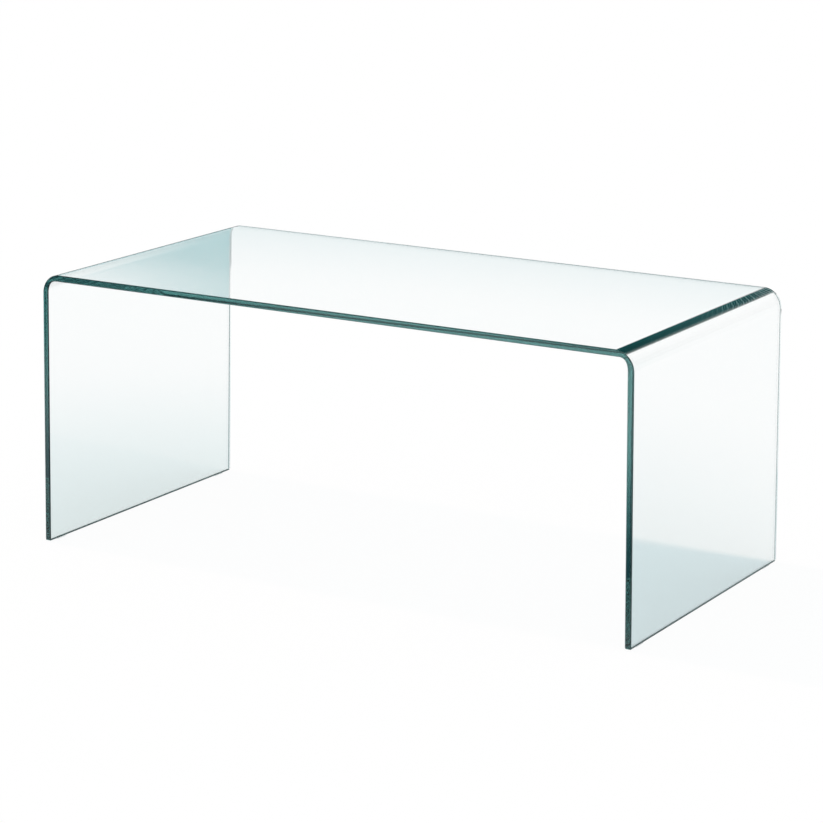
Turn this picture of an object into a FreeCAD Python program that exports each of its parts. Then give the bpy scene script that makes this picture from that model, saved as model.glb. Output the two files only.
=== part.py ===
# Waterfall coffee table: one sheet of clear glass, bent down at both ends, on four clear foot pads.
# Millimetres, +Z up. X runs along the length, -Y is the front, and the origin is on the floor
# under the middle of the table.
import FreeCAD, Part
import math
import os
import Sketcher

# Driving dimensions, one cell each
SIZES = {
    # The sheet: over the two bends, front to rear, and from its lower edges to its top face
    "top_length": 1000,
    "depth": 500,
    "sheet_height": 423,
    "glass_thickness": 10,
    # The bends: hot glass stretches as it bends, so it is thinner there and its two radii aren't concentric
    "outside_bend_radius": 30,
    "inside_bend_radius": 14,
    # How far each foot stands out beyond the end of its bend, because the legs lean slightly
    "foot_spread": 6.5,
    # The worked edge: a bevel ground along every edge, and the sheet's four corners taken off
    "arris": 1.5,
    "corner_radius": 2.5,
    # The foot pads: strips with round ends, stuck under the lower edges near their ends
    "pad_length": 25,
    "pad_thickness": 1.5,
    "pad_rim_radius": 0.5,
    "pad_side_clearance": 0.3,
    "pad_setback": 20,
    # The adhesive tape between pad and glass, kept just inside the pad's outline
    "tape_thickness": 0.5,
    "tape_margin": 0.25,
}

# Places that are closer together than this are taken as one
SAME_PLACE = 0.001

# A sketch counts the points of a line or arc from one, and its own axes down from zero
START, END, CENTRE = range(1, 4)
ACROSS_AXIS, UPRIGHT_AXIS = range(-1, -3, -1)
ORIGIN = (ACROSS_AXIS, START)
UP = FreeCAD.Vector(0, 0, 1)


def make_size_cells(doc):
    """Put every driving dimension in a cell of its own, with its name as the alias."""
    cells = doc.addObject("Spreadsheet::Sheet", "Sizes")
    for row, (name, value) in enumerate(SIZES.items(), start=1):
        cells.set(f"A{row}", name)
        cells.set(f"B{row}", str(value))
        cells.setAlias(f"B{row}", name)
    doc.recompute()


def make_sketch(body, name, plane_role):
    """An empty sketch on one of the body's own origin planes."""
    sketch = body.newObject("Sketcher::SketchObject", name)
    plane = next(item for item in body.Origin.OriginFeatures if item.Role == plane_role)
    sketch.AttachmentSupport = (plane, [""])
    sketch.MapMode = "FlatFace"
    return sketch


def drive(sketch, name, kind, *where, value, formula):
    """Add a dimension to a sketch and bind it to the cells."""
    index = sketch.addConstraint(Sketcher.Constraint(kind, *where, value))
    sketch.renameConstraint(index, name)
    sketch.setExpression(f"Constraints.{name}", formula)


def join(sketch, kind, pairs):
    """Tie pairs of line or arc ends together."""
    for first, first_end, second, second_end in pairs:
        sketch.addConstraint(Sketcher.Constraint(kind, first, first_end, second, second_end))


def segment(start, end):
    return Part.LineSegment(FreeCAD.Vector(*start), FreeCAD.Vector(*end))


def arc(centre, radius, first_degrees, last_degrees):
    """An arc that runs anticlockwise between two directions."""
    circle = Part.Circle(FreeCAD.Vector(*centre), UP, radius)
    return Part.ArcOfCircle(circle, math.radians(first_degrees), math.radians(last_degrees))


def draw_sheet_profile(sketch):
    """The bent sheet seen from the front. It is drawn upright, and its dimensions then lean the legs."""
    half = SIZES["top_length"] / 2
    height = SIZES["sheet_height"]
    thickness = SIZES["glass_thickness"]
    outer = SIZES["outside_bend_radius"]
    inner = SIZES["inside_bend_radius"]
    bend_x = half - outer
    bend_z = height - outer
    under = height - thickness
    leg = half - thickness
    bend_in_x = leg - inner
    bend_in_z = under - inner

    (top, right_bend, right_leg, right_foot, right_leg_in, right_bend_in,
     underside, left_bend_in, left_leg_in, left_foot, left_leg, left_bend) = sketch.addGeometry([
         segment((-bend_x, height), (bend_x, height)),
         arc((bend_x, bend_z), outer, 0, 90),
         segment((half, bend_z), (half, 0)),
         segment((half, 0), (leg, 0)),
         segment((leg, 0), (leg, bend_in_z)),
         arc((bend_in_x, bend_in_z), inner, 0, 90),
         segment((bend_in_x, under), (-bend_in_x, under)),
         arc((-bend_in_x, bend_in_z), inner, 90, 180),
         segment((-leg, bend_in_z), (-leg, 0)),
         segment((-leg, 0), (-half, 0)),
         segment((-half, 0), (-half, bend_z)),
         arc((-bend_x, bend_z), outer, 90, 180),
     ], False)

    join(sketch, "Tangent", [
        (top, END, right_bend, END),
        (right_bend, START, right_leg, START),
        (right_leg_in, END, right_bend_in, START),
        (right_bend_in, END, underside, START),
        (underside, END, left_bend_in, START),
        (left_bend_in, END, left_leg_in, START),
        (left_leg, END, left_bend, END),
        (left_bend, START, top, START),
    ])
    join(sketch, "Coincident", [
        (right_leg, END, right_foot, START),
        (right_foot, END, right_leg_in, START),
        (left_leg_in, END, left_foot, START),
        (left_foot, END, left_leg, START),
    ])
    for level in (underside, right_foot, left_foot):
        sketch.addConstraint(Sketcher.Constraint("Horizontal", level))
    for outside, inside in ((right_leg, right_leg_in), (left_leg, left_leg_in)):
        sketch.addConstraint(Sketcher.Constraint("Parallel", outside, inside))
    for right, left in ((right_bend, left_bend), (right_bend_in, left_bend_in)):
        sketch.addConstraint(Sketcher.Constraint("Equal", right, left))
    sketch.addConstraint(Sketcher.Constraint("Symmetric", top, START, top, END, UPRIGHT_AXIS))
    sketch.addConstraint(Sketcher.Constraint("Symmetric", left_leg, START, right_leg, END, UPRIGHT_AXIS))
    sketch.addConstraint(Sketcher.Constraint("PointOnObject", right_leg, END, ACROSS_AXIS))

    drive(sketch, "top_length", "DistanceX", left_bend, END, right_bend, START,
          value=SIZES["top_length"], formula="Sizes.top_length")
    drive(sketch, "foot_spread", "DistanceX", right_leg, START, right_leg, END,
          value=SIZES["foot_spread"], formula="Sizes.foot_spread")
    drive(sketch, "sheet_height", "DistanceY", right_leg, END, top, END,
          value=height, formula="Sizes.sheet_height")
    drive(sketch, "glass_thickness", "DistanceY", underside, START, top, END,
          value=thickness, formula="Sizes.glass_thickness")
    drive(sketch, "right_leg_thickness", "Distance", right_leg_in, START, right_leg,
          value=thickness, formula="Sizes.glass_thickness")
    drive(sketch, "left_leg_thickness", "Distance", left_leg_in, END, left_leg,
          value=thickness, formula="Sizes.glass_thickness")
    drive(sketch, "outside_bend_radius", "Radius", right_bend,
          value=outer, formula="Sizes.outside_bend_radius")
    drive(sketch, "inside_bend_radius", "Radius", right_bend_in,
          value=inner, formula="Sizes.inside_bend_radius")


def edge_names(shape, wanted):
    return [f"Edge{number}" for number, edge in enumerate(shape.Edges, start=1) if wanted(edge)]


def crosses_lower_corner(edge):
    """True on the short edges through the thickness, at the four corners of the sheet."""
    box = edge.BoundBox
    return max(box.YLength, box.ZLength, abs(box.ZMax)) < SAME_PLACE


def is_broad_face(face):
    """True on the flat and bent faces of the sheet, and false on the narrow faces round its edge."""
    normal = face.normalAt(*face.Surface.parameter(face.CenterOfMass))
    return abs(normal.y) < SAME_PLACE and face.BoundBox.ZMax > SAME_PLACE


def bounds_one_broad_face(shape, edge):
    """True on the edges that an arris runs along."""
    return sum(is_broad_face(face) for face in shape.ancestorsOfType(edge, Part.Face)) == 1


def make_glass(doc):
    """The glass: the profile drawn out to the depth, its corners rounded, then every edge bevelled."""
    body = doc.addObject("PartDesign::Body", "bent_glass_sheet")
    body.setExpression("Placement.Base.z", "Sizes.pad_thickness + Sizes.tape_thickness")

    profile = make_sketch(body, "sheet_profile", "XZ_Plane")
    draw_sheet_profile(profile)
    sheet = body.newObject("PartDesign::Pad", "bent_sheet")
    sheet.Profile = profile
    sheet.SideType = "Symmetric"
    sheet.setExpression("Length", "Sizes.depth")
    doc.recompute()

    corners = body.newObject("PartDesign::Fillet", "sheet_corners")
    corners.Base = (sheet, edge_names(sheet.Shape, crosses_lower_corner))
    corners.setExpression("Radius", "Sizes.corner_radius")
    doc.recompute()

    shape = corners.Shape
    arrises = body.newObject("PartDesign::Chamfer", "ground_arrises")
    arrises.Base = (corners, edge_names(shape, lambda edge: bounds_one_broad_face(shape, edge)))
    arrises.setExpression("Size", "Sizes.arris")
    doc.recompute()
    return body


def draw_strip(sketch, length_formula, width_formula):
    """A strip with round ends, centred on the origin and running along Y.

    It is drawn as wide as the sheet is thick, and its dimensions then set its width and length.
    """
    radius = SIZES["glass_thickness"] / 2
    reach = SIZES["pad_length"] / 2
    far_end, left_side, near_end, right_side = sketch.addGeometry([
        arc((0, reach), radius, 0, 180),
        segment((-radius, reach), (-radius, -reach)),
        arc((0, -reach), radius, 180, 360),
        segment((radius, -reach), (radius, reach)),
    ], False)
    join(sketch, "Tangent", [
        (far_end, END, left_side, START),
        (left_side, END, near_end, START),
        (near_end, END, right_side, START),
        (right_side, END, far_end, START),
    ])
    sketch.addConstraint(Sketcher.Constraint("Vertical", left_side))
    sketch.addConstraint(Sketcher.Constraint("Equal", far_end, near_end))
    sketch.addConstraint(Sketcher.Constraint("Symmetric", far_end, CENTRE, near_end, CENTRE, *ORIGIN))
    drive(sketch, "end_radius", "Radius", far_end,
          value=radius, formula=f"({width_formula}) / 2")
    drive(sketch, "centres_apart", "DistanceY", near_end, CENTRE, far_end, CENTRE,
          value=2 * reach, formula=f"{length_formula} - ({width_formula})")


def make_strip(doc, name, length, width, thickness, across, along, level):
    """A flat strip under one leg, at formulas for its place across, along and above the floor."""
    body = doc.addObject("PartDesign::Body", name)
    body.setExpression("Placement.Base.x", across)
    body.setExpression("Placement.Base.y", along)
    body.setExpression("Placement.Base.z", level)
    outline = make_sketch(body, f"{name}_outline", "XY_Plane")
    draw_strip(outline, length, width)
    strip = body.newObject("PartDesign::Pad", f"{name}_strip")
    strip.Profile = outline
    strip.setExpression("Length", thickness)
    doc.recompute()
    return body


def round_foot_rim(doc, body):
    """Round the rim of a pad where it meets the floor."""
    strip = body.Tip
    rim = body.newObject("PartDesign::Fillet", f"{body.Name}_rim")
    rim.Base = (strip, edge_names(strip.Shape, lambda edge: abs(edge.BoundBox.ZMax) < SAME_PLACE))
    rim.setExpression("Radius", "Sizes.pad_rim_radius")
    doc.recompute()


def make_feet(doc):
    """A pad and its tape near each end of both lower edges, centred on the flat between the arrises."""
    pad_length = "Sizes.pad_length"
    pad_width = "Sizes.glass_thickness - 2 * Sizes.arris - 2 * Sizes.pad_side_clearance"
    tape_length = f"({pad_length} - 2 * Sizes.tape_margin)"
    tape_width = f"{pad_width} - 2 * Sizes.tape_margin"
    foot_middle = "(Sizes.top_length / 2 + Sizes.foot_spread - Sizes.glass_thickness / 2)"
    pad_middle = "(Sizes.depth / 2 - Sizes.pad_setback - Sizes.pad_length / 2)"
    bodies = []
    for end, along_sign in (("front", "-"), ("rear", "")):
        for side, across_sign in (("left", "-"), ("right", "")):
            across = across_sign + foot_middle
            along = along_sign + pad_middle
            pad = make_strip(doc, f"{end}_{side}_foot_pad", pad_length, pad_width,
                             "Sizes.pad_thickness", across, along, "0")
            round_foot_rim(doc, pad)
            tape = make_strip(doc, f"{end}_{side}_pad_tape", tape_length, tape_width,
                              "Sizes.tape_thickness", across, along, "Sizes.pad_thickness")
            bodies += [pad, tape]
    return bodies


def check(doc, bodies):
    """Stop if anything in the document failed, or a piece isn't one sound solid."""
    failed = [item.Name for item in doc.Objects if {"Invalid", "Error"} & set(item.State)]
    if failed:
        raise RuntimeError(f"failed: {failed}")
    for body in bodies:
        shape = body.Shape
        if shape.isNull() or not shape.isValid() or len(shape.Solids) != 1:
            raise RuntimeError(f"not one sound solid: {body.Label}")
        box = shape.BoundBox
        corner = [round(value, 3) for value in (box.XMin, box.YMin, box.ZMin, box.XMax, box.YMax, box.ZMax)]
        print(body.Label, "volume", round(shape.Volume, 2), "box", corner)


def main():
    doc = FreeCAD.newDocument("waterfall_coffee_table")
    make_size_cells(doc)
    bodies = [make_glass(doc)] + make_feet(doc)
    doc.recompute()
    check(doc, bodies)
    os.makedirs("parts", exist_ok=True)
    for body in bodies:
        body.Shape.exportStep(f"parts/{body.Label}.step")


main()
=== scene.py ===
import math

import bmesh
import bpy
from mathutils import Matrix, Vector


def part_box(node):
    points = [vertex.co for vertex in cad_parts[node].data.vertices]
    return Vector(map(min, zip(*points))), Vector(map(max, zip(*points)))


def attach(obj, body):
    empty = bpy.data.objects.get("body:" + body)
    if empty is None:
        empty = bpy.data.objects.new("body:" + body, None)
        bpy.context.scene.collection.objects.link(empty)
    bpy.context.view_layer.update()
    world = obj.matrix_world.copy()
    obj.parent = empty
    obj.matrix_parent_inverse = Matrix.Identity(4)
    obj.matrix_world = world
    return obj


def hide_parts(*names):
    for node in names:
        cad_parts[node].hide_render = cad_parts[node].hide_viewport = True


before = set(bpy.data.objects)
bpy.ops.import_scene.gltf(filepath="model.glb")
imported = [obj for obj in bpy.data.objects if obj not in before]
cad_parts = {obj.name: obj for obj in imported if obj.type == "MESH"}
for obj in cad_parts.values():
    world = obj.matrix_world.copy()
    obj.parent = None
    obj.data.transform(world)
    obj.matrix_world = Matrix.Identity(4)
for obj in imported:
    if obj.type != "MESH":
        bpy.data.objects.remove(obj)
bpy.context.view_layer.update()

# The sheet of glass, in metres
TOP_LENGTH = 1.000
FOOT_SPREAD = 0.0065
GLASS_THICKNESS = 0.010
OUTSIDE_BEND_RADIUS = 0.030
INSIDE_BEND_RADIUS = 0.014
ARRIS = 0.0015
CORNER_RADIUS = 0.0025

# The inside of the bend runs softly into the leg: how much fuller it is there, and at which depths
# below the top
INSIDE_EASE = 0.00066
EASE_COMES_ON = (0.0112, 0.0180)
EASE_GOES_OFF = (0.0200, 0.0280)

# How finely the sheet is cut up for bending
TOP_STEPS = 16
BEND_STEPS = 64
EASE_STEPS = 6
LEG_STEPS = 12
CORNER_STEPS = 6
SPRING_LINE_GUARD = 0.0015

# How often the legs' angle is worked out again, each time from the last one
LEAN_ROUNDS = 8

# The glass: what it takes from red, green and blue light in each metre, a density above the most that it
# takes, how it bends light, and its finishes
GLASS_ABSORPTION = (3.0, 1.65, 1.7)
GLASS_DENSITY = 6.0
GLASS_IOR = 1.52
FACE_TINT = (0.997, 0.999, 0.999, 1)
EDGE_TINTS = ((0.27, 0.46, 0.45, 1), (0.47, 0.66, 0.65, 1))
EDGE_ROUGHNESS = 0.02
# The arrises' tints: a ground grey-green, darkened with painted shade into thin near-black lines along the
# edges
ARRIS_TINTS_AND_SHADE = ((0.08, 0.13, 0.13, 1), (0.20, 0.29, 0.29, 1))
ARRIS_ROUGHNESS = (0.2, 0.4)
# The faces the legs stand on: a dark diffuse share, part dull ground finish and part painted shade where
# they meet the floor
FOOT_SHADE_COLOURS = ((0.02, 0.06, 0.06, 1), (0.05, 0.13, 0.13, 1))
FOOT_GROUND_SHADE_SHARE = 0.65

# Marks in the glass, as cycles in each metre of the flat sheet: along it, across it and through it
POLISH_LINES = (6, 6, 300)
GROUND_SPECKLE = (1500, 1500, 1500)
FLOAT_WAVES = (3.0, 0.7, 0.0)
FLOAT_WAVE_HEIGHT = 0.000008
NOISE_ENDS = (0.3, 0.7)

# The feet's soft pads and their tape: a clear and a cloudy colour, and roughness
PAD_COLOURS = ((0.93, 0.96, 0.96, 1), (0.80, 0.84, 0.84, 1))
PAD_ROUGHNESS = 0.25
TAPE_COLOURS = ((0.95, 0.97, 0.97, 1), (0.86, 0.89, 0.89, 1))
TAPE_ROUGHNESS = 0.12
CLOUD_CYCLES = (700, 700, 700)
CLOUD_ROUGHNESS = 0.15
PLASTIC_IOR = 1.48
PLASTIC_CLEARNESS = 0.8
PLASTIC_ALPHA = 0.4

# The photograph's view: degrees round from the front, above the floor and tipped, then metres and
# millimetres
CAMERA_AZIMUTH = 30.398
CAMERA_ELEVATION = 14.043
CAMERA_ROLL = 0.430
CAMERA_AIM = (-0.0224, 0.0468, 0.2098)
CAMERA_DISTANCE = 4.4884
CAMERA_LENS = 127.39
CAMERA_SENSOR = 36.0

# The studio: a white floor under an even fill, with a key light from the left
WHITE = (1, 1, 1, 1)
FLOOR_REACH = 60.0
SHADOW_SEEN_DIRECTLY = 0.04
SHADOW_SEEN_IN_GLASS = 0.5
FILL_COLOUR = (0.62, 0.78, 0.82, 1)
KEY_ELEVATION = 40.0
KEY_ANGLE = 2.5

# Painted shades, and a painted pool of light, that only glass shows on the floor. Each clears, or comes on,
# between two distances in metres
NEAR_SHADE_COLOUR = (0.82, 0.905, 0.91, 1)
NEAR_CENTRE = (-0.25, -0.20, 0.0)
NEAR_CLEARS = (0.2, 1.4)
FRONT_SHADE_COLOUR = (0.08, 0.10, 0.10, 1)
FRONT_BEGINS = (1.45, 1.55)
FRONT_SLANT = 0.2
FRONT_BEGINS_IN_MIRROR = (0.2, 0.5)
FRONT_CLEARS_IN_MIRROR = (0.7, 1.5)
FRONT_SIDE_IN_MIRROR = (0.5, 0.7)
EDGE_SHADE_COLOUR = (0.05, 0.15, 0.19, 1)
EDGE_SHADE_CLEARS = (0.2, 1.1)
LEFT_COLOUR = (0.03, 0.03, 0.03, 1)
LEFT_BEGINS = (1.0, 1.5)
FAR_SHADE_COLOUR = (0.0, 0.20, 0.25, 1)
FAR_BEGINS_IN_MIRROR = (1.40, 1.60)
TWO_SHEET_SHADE_COLOUR = (0.0, 0.36, 0.395, 1)
TWO_SHEET_LEFT = (0.3, 0.6)
TWO_SHEET_BEHIND = (0.25, 0.5)
LIGHT_POOL_CENTRE = (-1.85, 1.0, 0.0)
LIGHT_POOL_ENDS = (0.21, 0.82)

# What glass mirrors on the left: a white sweep between a grey-blue horizon, dark at its foot, and a dim
# blue-green room. Heights are in degrees, and places from left to right run from -1 to 1
HORIZON_COLOUR = (0.35, 0.60, 0.64, 1)
HORIZON_CLEARS = (9.5, 12.0)
HORIZON_TILT = 0.11
HORIZON_TILT_OFFSET = 0.5
LOW_HORIZON_CLEARS = (6.5, 9.0)
ROOM_COLOUR = (0.02, 0.17, 0.18, 1)
ROOM_BEGINS = (14.5, 18.0)
LEFT_SIDE = (-0.1, 0.1)

# Light in the glass: how often it turns back on its way along an edge, how often it crosses the faces of
# one sheet, and how many bounces it has in all
TURNS_ALONG_EDGE = (3, 6)
CROSSINGS_OF_SHEET = 2
LIGHT_BOUNCES = 128

# A Mix node's sockets: how many lie between its factor and its two colours, and where its colour comes out
MIX_SOCKETS_BETWEEN = 5
MIX_COLOUR_OUTPUT = 2


class Value:
    """A number that a node gives. Sums, products and the like add Math nodes of their own."""

    def __init__(self, graph, socket):
        self.graph = graph
        self.socket = socket

    def maths(self, operation, *others):
        return self.graph.value("ShaderNodeMath", {"operation": operation}, self, *others)

    def __add__(self, other):
        return self.maths("ADD", other)

    def __radd__(self, other):
        return self.graph.value("ShaderNodeMath", {"operation": "ADD"}, other, self)

    def __sub__(self, other):
        return self.maths("SUBTRACT", other)

    def __rsub__(self, other):
        return self.graph.value("ShaderNodeMath", {"operation": "SUBTRACT"}, other, self)

    def __mul__(self, other):
        return self.maths("MULTIPLY", other)

    def __rmul__(self, other):
        return self.graph.value("ShaderNodeMath", {"operation": "MULTIPLY"}, other, self)

    def __truediv__(self, other):
        return self.maths("DIVIDE", other)

    def __rtruediv__(self, other):
        return self.graph.value("ShaderNodeMath", {"operation": "DIVIDE"}, other, self)

    def clamped(self):
        return self.graph.value("ShaderNodeClamp", {}, self)

    def choose(self, when_one, when_zero):
        return self * when_one + (1 - self) * when_zero

    def rise(self, start, end):
        """0 up to start, 1 from end on, and a smooth rise between them."""
        smooth = {"interpolation_type": "SMOOTHSTEP"}
        return self.graph.value("ShaderNodeMapRange", smooth, self, start, end)


class Graph:
    """A node tree that is written as expressions."""

    def __init__(self, tree):
        self.tree = tree
        self.tree.nodes.clear()

    def node(self, kind, settings, *inputs, **named):
        """A node of any kind: its settings are set first, then its sockets by place or by name."""
        made = self.tree.nodes.new(kind)
        for name, setting in settings.items():
            setattr(made, name, setting)
        by_name = [(made.inputs[name], given) for name, given in named.items()]
        for socket, given in [*zip(made.inputs, inputs), *by_name]:
            if isinstance(given, Value):
                given = given.socket
            if isinstance(given, bpy.types.NodeSocket):
                self.tree.links.new(given, socket)
            elif given is not None:
                socket.default_value = given
        return made

    def value(self, kind, settings, *inputs, output=0, **named):
        """One output of such a node, as a Value."""
        return Value(self, self.node(kind, settings, *inputs, **named).outputs[output])

    def noise(self, place, cycles):
        """Soft noise from 0 to 1, with so many cycles in each metre along the three axes."""
        spread = self.node("ShaderNodeVectorMath", {"operation": "MULTIPLY"}, place, cycles).outputs[0]
        return self.value("ShaderNodeTexNoise", {}, spread, Scale=1.0).rise(*NOISE_ENDS)

    def mixed(self, share, colour, other):
        """One colour where the share is 0, the other where it is 1."""
        between = (None,) * MIX_SOCKETS_BETWEEN
        mix = self.node("ShaderNodeMix", {"data_type": "RGBA"}, share, *between, colour, other)
        return mix.outputs[MIX_COLOUR_OUTPUT]


def lean_of_legs(bend_drop):
    """The legs' angle from upright, from how far each foot stands out and lies below the bend's centre."""
    lean = 0.0
    for _ in range(LEAN_ROUNDS):
        lean = math.atan(FOOT_SPREAD / (bend_drop + OUTSIDE_BEND_RADIUS * math.sin(lean)))
    return lean


low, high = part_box("bent_glass_sheet")
DEPTH = high.y - low.y
OUTSIDE_CENTRE_HEIGHT = high.z - OUTSIDE_BEND_RADIUS
INSIDE_CENTRE_HEIGHT = high.z - GLASS_THICKNESS - INSIDE_BEND_RADIUS
LEAN = lean_of_legs(OUTSIDE_CENTRE_HEIGHT - low.z)
BEND_TURN = math.pi / 2 - LEAN
OUTSIDE_HALF_FLAT = TOP_LENGTH / 2 - OUTSIDE_BEND_RADIUS * math.cos(LEAN)
RADIUS_STEP = OUTSIDE_BEND_RADIUS - INSIDE_BEND_RADIUS - GLASS_THICKNESS
INSIDE_HALF_FLAT = OUTSIDE_HALF_FLAT + RADIUS_STEP * (1 - math.sin(LEAN)) / math.cos(LEAN)
BEND_RUN = (OUTSIDE_BEND_RADIUS + INSIDE_BEND_RADIUS) / 2 * BEND_TURN
LEG_RUN = OUTSIDE_CENTRE_HEIGHT + RADIUS_STEP / 2 - low.z
HALF_BLANK = OUTSIDE_HALF_FLAT + BEND_RUN + LEG_RUN


def spaced(start, end, steps):
    """Places from start to end, with both ends."""
    return [start + (end - start) * step / steps for step in range(steps + 1)]


def blank_stations():
    """Places along half of the flat blank, each as how far along it is and half the width there.

    Each place is given twice: for the edge faces, and for the broad faces, which the arris makes narrower.
    """
    full = DEPTH / 2
    corner = HALF_BLANK - CORNER_RADIUS
    bend_end = OUTSIDE_HALF_FLAT + BEND_RUN
    places = spaced(0, OUTSIDE_HALF_FLAT - SPRING_LINE_GUARD, TOP_STEPS)
    places += spaced(OUTSIDE_HALF_FLAT, bend_end, BEND_STEPS)
    leg_start = bend_end + EASE_GOES_OFF[1] - EASE_GOES_OFF[0]
    places += spaced(bend_end, leg_start, EASE_STEPS)[1:]
    places += spaced(leg_start, corner, LEG_STEPS)[1:]
    stations = [((along, full), (along, full - ARRIS)) for along in places]
    inset = full - CORNER_RADIUS
    for turn in spaced(0, math.pi / 2, CORNER_STEPS)[1:]:
        stations.append(tuple(
            (corner + radius * math.sin(turn), inset + radius * math.cos(turn))
            for radius in (CORNER_RADIUS, CORNER_RADIUS - ARRIS)))
    return stations


def flat_blank():
    """The sheet before bending: cut to size, its corners rounded and its edges ground.

    Z runs through the thickness.
    """
    half = GLASS_THICKNESS / 2
    stations = blank_stations()
    mesh = bmesh.new()
    edge_face = mesh.faces.layers.float.new("polished_edge")
    arris_face = mesh.faces.layers.float.new("ground_arris")
    foot_face = mesh.faces.layers.float.new("ground_foot")
    blank_place = mesh.verts.layers.float_vector.new("blank_place")

    def ring(station, end):
        (edge_at, edge_wide), (broad_at, broad_wide) = station
        corners = [
            (broad_at, -broad_wide, half), (broad_at, broad_wide, half),
            (edge_at, edge_wide, half - ARRIS), (edge_at, edge_wide, ARRIS - half),
            (broad_at, broad_wide, -half), (broad_at, -broad_wide, -half),
            (edge_at, -edge_wide, ARRIS - half), (edge_at, -edge_wide, half - ARRIS),
        ]
        made = [mesh.verts.new((end * along, across, through)) for along, across, through in corners]
        for vert in made:
            vert[blank_place] = vert.co
        return made

    def face(corners, *kinds):
        made = mesh.faces.new(corners)
        made.smooth = True
        for kind in kinds:
            made[kind] = 1.0

    kinds = ((), (arris_face,), (edge_face,), (arris_face,)) * 2
    rings = [ring(station, -1) for station in reversed(stations[1:])]
    rings += [ring(station, 1) for station in stations]
    for near, far in zip(rings, rings[1:]):
        for place, kind in enumerate(kinds):
            after = (place + 1) % len(kinds)
            face((near[place], far[place], far[after], near[after]), *kind)
    foot_faces = (((0, 1, 2, 7), arris_face), ((7, 2, 3, 6), edge_face), ((6, 3, 4, 5), arris_face))
    for last in (rings[0], rings[-1]):
        for corners, kind in foot_faces:
            face([last[corner] for corner in corners], kind, foot_face)
    bmesh.ops.recalc_face_normals(mesh, faces=mesh.faces)
    for edge in mesh.edges:
        one, other = edge.link_faces
        edge.smooth = one[edge_face] == other[edge_face] and one[arris_face] == other[arris_face]
    data = bpy.data.meshes.new("bent_glass")
    mesh.to_mesh(data)
    mesh.free()
    return data


BEND_SIZES = {
    "Half Flat": OUTSIDE_HALF_FLAT,
    "Bend Run": BEND_RUN,
    "Leg Run": LEG_RUN,
    "Half Thickness": GLASS_THICKNESS / 2,
    "Bend Turn": BEND_TURN,
    "Outside Radius": OUTSIDE_BEND_RADIUS,
    "Outside Centre Height": OUTSIDE_CENTRE_HEIGHT,
    "Inside Radius": INSIDE_BEND_RADIUS,
    "Inside Centre": INSIDE_HALF_FLAT,
    "Inside Centre Height": INSIDE_CENTRE_HEIGHT,
    "Lean": math.tan(LEAN),
    "Foot Height": low.z,
    "Inside Ease": INSIDE_EASE,
    "Ease On Height": high.z - EASE_COMES_ON[0],
    "Ease On Run": EASE_COMES_ON[1] - EASE_COMES_ON[0],
    "Ease Off Height": high.z - EASE_GOES_OFF[0],
    "Ease Off Run": EASE_GOES_OFF[1] - EASE_GOES_OFF[0],
}


def bending_tree():
    """Bends a flat sheet down at both ends: an arc, then a leg that leans out and is cut level at the foot.

    The upper half of the thickness follows the outside of the bend and the lower half its inside.
    """
    tree = bpy.data.node_groups.new("bend_sheet", "GeometryNodeTree")
    tree.interface.new_socket("Geometry", in_out="INPUT", socket_type="NodeSocketGeometry")
    for name in BEND_SIZES:
        tree.interface.new_socket(name, in_out="INPUT", socket_type="NodeSocketFloat")
    tree.interface.new_socket("Glass", in_out="INPUT", socket_type="NodeSocketMaterial")
    tree.interface.new_socket("Geometry", in_out="OUTPUT", socket_type="NodeSocketGeometry")
    graph = Graph(tree)
    given = graph.node("NodeGroupInput", {}).outputs
    (half_flat, bend_run, leg_run, half, turn, outside_radius, outside_height, inside_radius, inside_centre,
     inside_height, lean, foot, ease, on_height, on_run, off_height, off_run) = (
        Value(graph, given[name]) for name in BEND_SIZES)
    place = graph.node("GeometryNodeInputPosition", {}).outputs[0]
    along, across, through = (
        Value(graph, socket) for socket in graph.node("ShaderNodeSeparateXYZ", {}, place).outputs)

    reach = along.maths("ABSOLUTE")
    flat_share = (reach / half_flat).maths("MINIMUM", 1.0)
    turn_share = ((reach - half_flat) / bend_run).clamped()
    leg_share = ((reach - half_flat - bend_run) / leg_run).clamped()
    outside = through.maths("GREATER_THAN", 0.0)
    radius = outside.choose(outside_radius - half, inside_radius + half) + through
    centre = outside.choose(half_flat, inside_centre)
    height = outside.choose(outside_height, inside_height)
    angle = turn * turn_share
    bend_x = centre * flat_share + radius * angle.maths("SINE")
    bend_z = height + radius * angle.maths("COSINE")
    drop = (bend_z - foot) * leg_share
    z = bend_z - drop
    coming_on = (on_height - z).rise(0.0, on_run)
    going_off = (off_height - z).rise(0.0, off_run)
    eased = (1 - outside) * ease * coming_on * (1 - going_off)
    x = along.maths("SIGN") * (bend_x + drop * lean - eased)
    bent = graph.value("ShaderNodeCombineXYZ", {}, x, across, z)
    moved = graph.node("GeometryNodeSetPosition", {}, given["Geometry"], Position=bent)
    real = graph.node("GeometryNodeRealizeInstances", {}, moved.outputs[0])
    dressed = graph.node("GeometryNodeSetMaterial", {}, real.outputs[0], Material=given["Glass"])
    graph.node("NodeGroupOutput", {}, dressed.outputs[0])
    return tree


def bend(piece, tree, material):
    """Run the bending tree on a flat piece, and keep its result as a plain mesh."""
    modifier = piece.modifiers.new("bend", "NODES")
    modifier.node_group = tree
    values = {**BEND_SIZES, "Glass": material}
    for item in tree.interface.items_tree:
        if item.in_out == "INPUT" and item.name in values:
            modifier[item.identifier] = values[item.name]
    depsgraph = bpy.context.evaluated_depsgraph_get()
    piece.data = bpy.data.meshes.new_from_object(piece.evaluated_get(depsgraph))
    piece.modifiers.clear()


def new_material(name):
    material = bpy.data.materials.new(name)
    material.use_nodes = True
    return material, Graph(material.node_tree)


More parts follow.
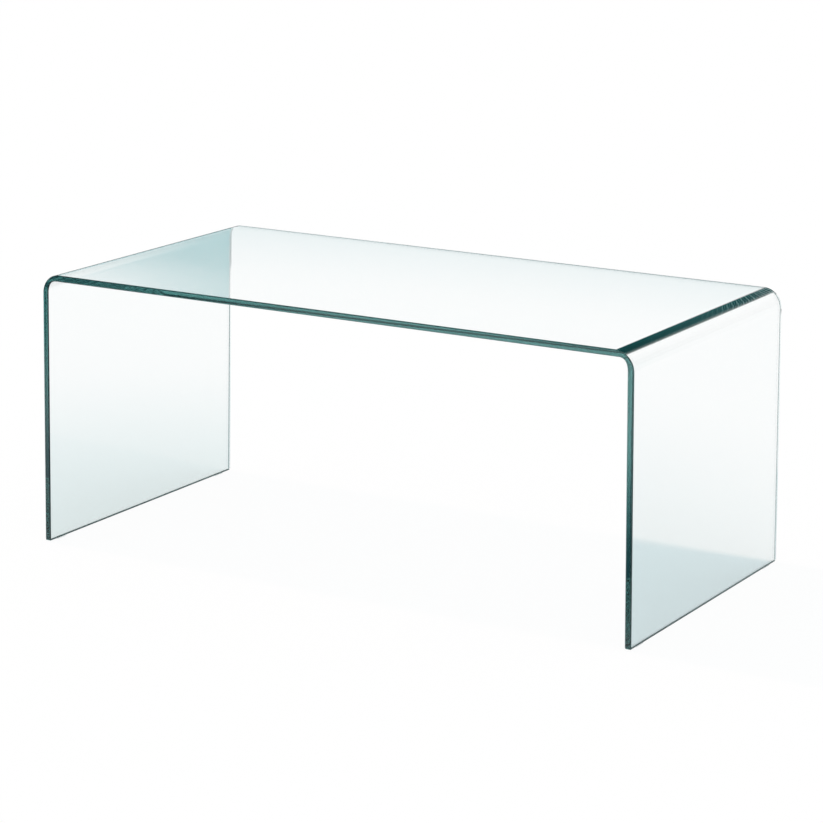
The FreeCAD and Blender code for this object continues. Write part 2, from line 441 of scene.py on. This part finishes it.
def clear_glass():
    """Float glass: clear through its faces, teal through its edges.

    The faces have the float's faint waves, the edges the polisher's lines, and the arrises the grinder's
    speckle on a grey-green tint darkened with painted shade. The edges that it stands on are ground too,
    dull, and darkened with painted shade where they meet the floor.
    """
    material, graph = new_material("clear_float_glass")
    edge = graph.value("ShaderNodeAttribute", {"attribute_name": "polished_edge"}, output="Fac")
    arris = graph.value("ShaderNodeAttribute", {"attribute_name": "ground_arris"}, output="Fac")
    foot = graph.value("ShaderNodeAttribute", {"attribute_name": "ground_foot"}, output="Fac")
    place = graph.node("ShaderNodeAttribute", {"attribute_name": "blank_place"}).outputs["Vector"]
    lines = graph.noise(place, POLISH_LINES)
    speckle = graph.noise(place, GROUND_SPECKLE)
    tint = graph.mixed(edge, FACE_TINT, graph.mixed(lines, *EDGE_TINTS))
    # Painted shade: the arrises' tint darkens them to thin dark lines
    tint = graph.mixed(arris, tint, graph.mixed(speckle, *ARRIS_TINTS_AND_SHADE))
    waves = graph.noise(place, FLOAT_WAVES)
    waved = graph.node("ShaderNodeBump", {}, Distance=FLOAT_WAVE_HEIGHT, Height=waves)
    roughness = edge * lines * EDGE_ROUGHNESS + arris * speckle.choose(*reversed(ARRIS_ROUGHNESS))
    glass = graph.node("ShaderNodeBsdfPrincipled", {}, **{
        "Base Color": tint,
        "Roughness": roughness,
        "IOR": GLASS_IOR,
        "Transmission Weight": 1.0,
        "Normal": waved.outputs[0],
    })
    # Painted shade: a near-black diffuse share darkens the faces the legs stand on
    ground = graph.node("ShaderNodeBsdfDiffuse", {}, graph.mixed(speckle, *FOOT_SHADE_COLOURS))
    dull = foot * FOOT_GROUND_SHADE_SHARE
    shown = graph.node("ShaderNodeMixShader", {}, dull, glass.outputs[0], ground.outputs[0])
    left_over = [1 - taken / GLASS_DENSITY for taken in GLASS_ABSORPTION]
    volume = graph.node("ShaderNodeVolumeAbsorption", {}, Color=(*left_over, 1), Density=GLASS_DENSITY)
    graph.node("ShaderNodeOutputMaterial", {}, shown.outputs[0], volume.outputs[0])
    return material


def soft_clear_plastic(name, colours, roughness):
    """Clear soft plastic with a faint cloudiness."""
    material, graph = new_material(name)
    cloud = graph.noise(graph.node("ShaderNodeTexCoord", {}).outputs["Object"], CLOUD_CYCLES)
    shader = graph.node("ShaderNodeBsdfPrincipled", {}, **{
        "Base Color": graph.mixed(cloud, *colours),
        "Roughness": roughness + cloud * CLOUD_ROUGHNESS,
        "IOR": PLASTIC_IOR,
        "Transmission Weight": PLASTIC_CLEARNESS,
        "Alpha": PLASTIC_ALPHA,
    })
    graph.node("ShaderNodeOutputMaterial", {}, shader.outputs[0])
    return material


class Rays:
    """How the rays that meet the stage came there, as 0 or 1.

    The camera's own and those by way of glass show the stage. The others only carry its light.
    """

    def __init__(self, graph):
        path = graph.node("ShaderNodeLightPath", {}).outputs

        def read(name):
            return Value(graph, path[name])

        showing = 1 - read("Diffuse Depth").maths("MINIMUM", 1.0)
        turns = read("Glossy Depth")
        crossings = read("Transmission Depth")
        self.camera = read("Is Camera Ray")
        self.in_glass = showing * read("Is Glossy Ray").maths("MAXIMUM", read("Is Transmission Ray"))
        self.carried = 1 - self.camera - self.in_glass
        self.mirrored = self.in_glass * (1 - read("Is Transmission Ray"))
        self.mirrored_in_front = self.mirrored * (1 - crossings.maths("MINIMUM", 1.0))
        self.mirrored_behind = self.mirrored - self.mirrored_in_front
        self.turned_back = (self.in_glass - self.mirrored) * turns.maths("MINIMUM", 1.0)
        self.along_edge = self.in_glass * turns.rise(*TURNS_ALONG_EDGE)
        self.two_sheets = self.in_glass * (crossings / CROSSINGS_OF_SHEET - 1).clamped()


def floor_colour(graph, rays):
    """White, with the painted shades and the painted pool of light that glass shows."""
    place = graph.node("ShaderNodeTexCoord", {}).outputs["Object"]
    x, y = (graph.value("ShaderNodeSeparateXYZ", {}, place, output=axis) for axis in "XY")

    def distance(centre):
        return graph.value("ShaderNodeVectorMath", {"operation": "DISTANCE"}, place, centre, output="Value")

    # Painted shade: the floor is darker near the table
    near = rays.in_glass * (1 - distance(NEAR_CENTRE).rise(*NEAR_CLEARS))
    # Painted shade: the floor in front of the table is dark in what glass mirrors and in light turned back
    # inside it
    close = 1 - distance((0, 0, 0)).rise(*FRONT_CLEARS_IN_MIRROR)
    close *= 1 - x.maths("ABSOLUTE").rise(*FRONT_SIDE_IN_MIRROR)
    front = rays.turned_back * (-1 * y - FRONT_SLANT * x).rise(*FRONT_BEGINS)
    front += rays.mirrored_in_front * close * (-1 * y).rise(*FRONT_BEGINS_IN_MIRROR)
    # Painted shade: the floor far behind is dark teal in what glass mirrors behind a sheet
    far = rays.mirrored_behind * y.rise(*FAR_BEGINS_IN_MIRROR)
    # Painted shade: the floor on the left is near black in what glass mirrors
    left = rays.mirrored * (-1 * x).rise(*LEFT_BEGINS)
    edge = rays.along_edge * (1 - y.rise(*EDGE_SHADE_CLEARS))
    # Painted shade: the floor on the left and behind is dark teal through two sheets, except in a painted
    # pool of light
    two_sheets = rays.two_sheets * (-1 * x).rise(*TWO_SHEET_LEFT) * y.rise(*TWO_SHEET_BEHIND)
    two_sheets *= distance(LIGHT_POOL_CENTRE).rise(*LIGHT_POOL_ENDS)
    colour = graph.mixed(near, WHITE, NEAR_SHADE_COLOUR)
    colour = graph.mixed(far, colour, FAR_SHADE_COLOUR)
    colour = graph.mixed(left, colour, LEFT_COLOUR)
    colour = graph.mixed(front, colour, FRONT_SHADE_COLOUR)
    colour = graph.mixed(edge, colour, EDGE_SHADE_COLOUR)
    return graph.mixed(two_sheets, colour, TWO_SHEET_SHADE_COLOUR)


def make_floor():
    """A white floor that shows a share of its shadow."""
    mesh = bmesh.new()
    bmesh.ops.create_grid(mesh, x_segments=1, y_segments=1, size=FLOOR_REACH)
    data = bpy.data.meshes.new("studio_floor")
    mesh.to_mesh(data)
    mesh.free()
    floor = bpy.data.objects.new("studio_floor", data)
    bpy.context.scene.collection.objects.link(floor)
    material, graph = new_material("studio_floor")
    rays = Rays(graph)
    colour = floor_colour(graph, rays)
    lit = graph.node("ShaderNodeBsdfDiffuse", {}, colour)
    plain = graph.node("ShaderNodeEmission", {}, colour)
    unshaded = rays.camera * (1 - SHADOW_SEEN_DIRECTLY) + rays.in_glass * (1 - SHADOW_SEEN_IN_GLASS)
    shown = graph.node("ShaderNodeMixShader", {}, unshaded, lit.outputs[0], plain.outputs[0])
    graph.node("ShaderNodeOutputMaterial", {}, shown.outputs[0])
    data.materials.append(material)


def sine(degrees):
    return math.sin(math.radians(degrees))


def make_surroundings():
    """White for the camera and through glass.

    Glass mirrors a horizon and a room on the left, and the floor gets an even fill.
    """
    world = bpy.data.worlds.new("studio")
    world.use_nodes = True
    bpy.context.scene.world = world
    graph = Graph(world.node_tree)
    rays = Rays(graph)
    direction = graph.node("ShaderNodeTexCoord", {}).outputs["Generated"]
    right, height = (graph.value("ShaderNodeSeparateXYZ", {}, direction, output=axis) for axis in "XZ")
    on_left = rays.mirrored * (1 - right.rise(*LEFT_SIDE))
    tilted = height - (right + HORIZON_TILT_OFFSET) * HORIZON_TILT
    horizon = on_left * (1 - tilted.rise(*(sine(end) for end in HORIZON_CLEARS)))
    room = on_left * height.rise(*(sine(end) for end in ROOM_BEGINS))
    low_horizon = on_left * (1 - height.rise(*(sine(end) for end in LOW_HORIZON_CLEARS)))
    colour = graph.mixed(horizon, WHITE, HORIZON_COLOUR)
    colour = graph.mixed(low_horizon, colour, LEFT_COLOUR)
    colour = graph.mixed(room, colour, ROOM_COLOUR)
    colour = graph.mixed(rays.carried, colour, FILL_COLOUR)
    sky = graph.node("ShaderNodeBackground", {}, colour)
    graph.node("ShaderNodeOutputWorld", {}, sky.outputs[0])


def make_key_light():
    """A soft light from the left that makes the fill up to white. The glass itself doesn't show it."""
    lamp = bpy.data.lights.new("key_light", "SUN")
    lamp.angle = math.radians(KEY_ANGLE)
    lamp.color = [1 - fill for fill in FILL_COLOUR[:3]]
    lamp.energy = math.pi / sine(KEY_ELEVATION)
    key = bpy.data.objects.new("key_light", lamp)
    key.rotation_euler.y = math.radians(KEY_ELEVATION - 90)
    key.visible_glossy = False
    key.visible_transmission = False
    bpy.context.scene.collection.objects.link(key)


def make_camera():
    """The photograph's view."""
    angles = (CAMERA_AZIMUTH, CAMERA_ELEVATION, CAMERA_ROLL)
    azimuth, elevation, roll = (math.radians(degrees) for degrees in angles)
    level_back = Vector((math.sin(azimuth), -math.cos(azimuth), 0))
    back = level_back * math.cos(elevation) + Vector((0, 0, math.sin(elevation)))
    right = Vector((math.cos(azimuth), math.sin(azimuth), 0))
    up = back.cross(right)
    right, up = right * math.cos(roll) + up * math.sin(roll), up * math.cos(roll) - right * math.sin(roll)
    place = Vector(CAMERA_AIM) + back * CAMERA_DISTANCE
    data = bpy.data.cameras.new("photograph_view")
    data.lens = CAMERA_LENS
    data.sensor_width = CAMERA_SENSOR
    data.clip_end = 2 * FLOOR_REACH
    camera = bpy.data.objects.new("photograph_view", data)
    camera.matrix_world = Matrix((right, up, back)).transposed().to_4x4()
    camera.location = place
    bpy.context.scene.collection.objects.link(camera)
    bpy.context.scene.camera = camera


def make_glass():
    """The sheet, bent from its flat blank."""
    glass = bpy.data.objects.new("bent_glass", flat_blank())
    bpy.context.scene.collection.objects.link(glass)
    bend(glass, bending_tree(), clear_glass())
    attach(glass, "root")
    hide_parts("bent_glass_sheet")


def dress_feet():
    """The pads and tapes that the frame brings along get clear soft plastic."""
    pad = soft_clear_plastic("clear_pad", PAD_COLOURS, PAD_ROUGHNESS)
    tape = soft_clear_plastic("clear_tape", TAPE_COLOURS, TAPE_ROUGHNESS)
    for name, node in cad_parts.items():
        for ending, material in (("_foot_pad", pad), ("_pad_tape", tape)):
            if name.endswith(ending):
                node.data.materials.clear()
                node.data.materials.append(material)


def let_light_travel():
    """Light runs a long way inside a sheet of glass, so its bounces aren't cut short."""
    cycles = bpy.context.scene.cycles
    cycles.max_bounces = LIGHT_BOUNCES
    cycles.glossy_bounces = LIGHT_BOUNCES
    cycles.transmission_bounces = LIGHT_BOUNCES


make_camera()
make_floor()
make_surroundings()
make_key_light()
make_glass()
dress_feet()
let_light_travel()
bpy.context.scene.view_settings.view_transform = "Standard"
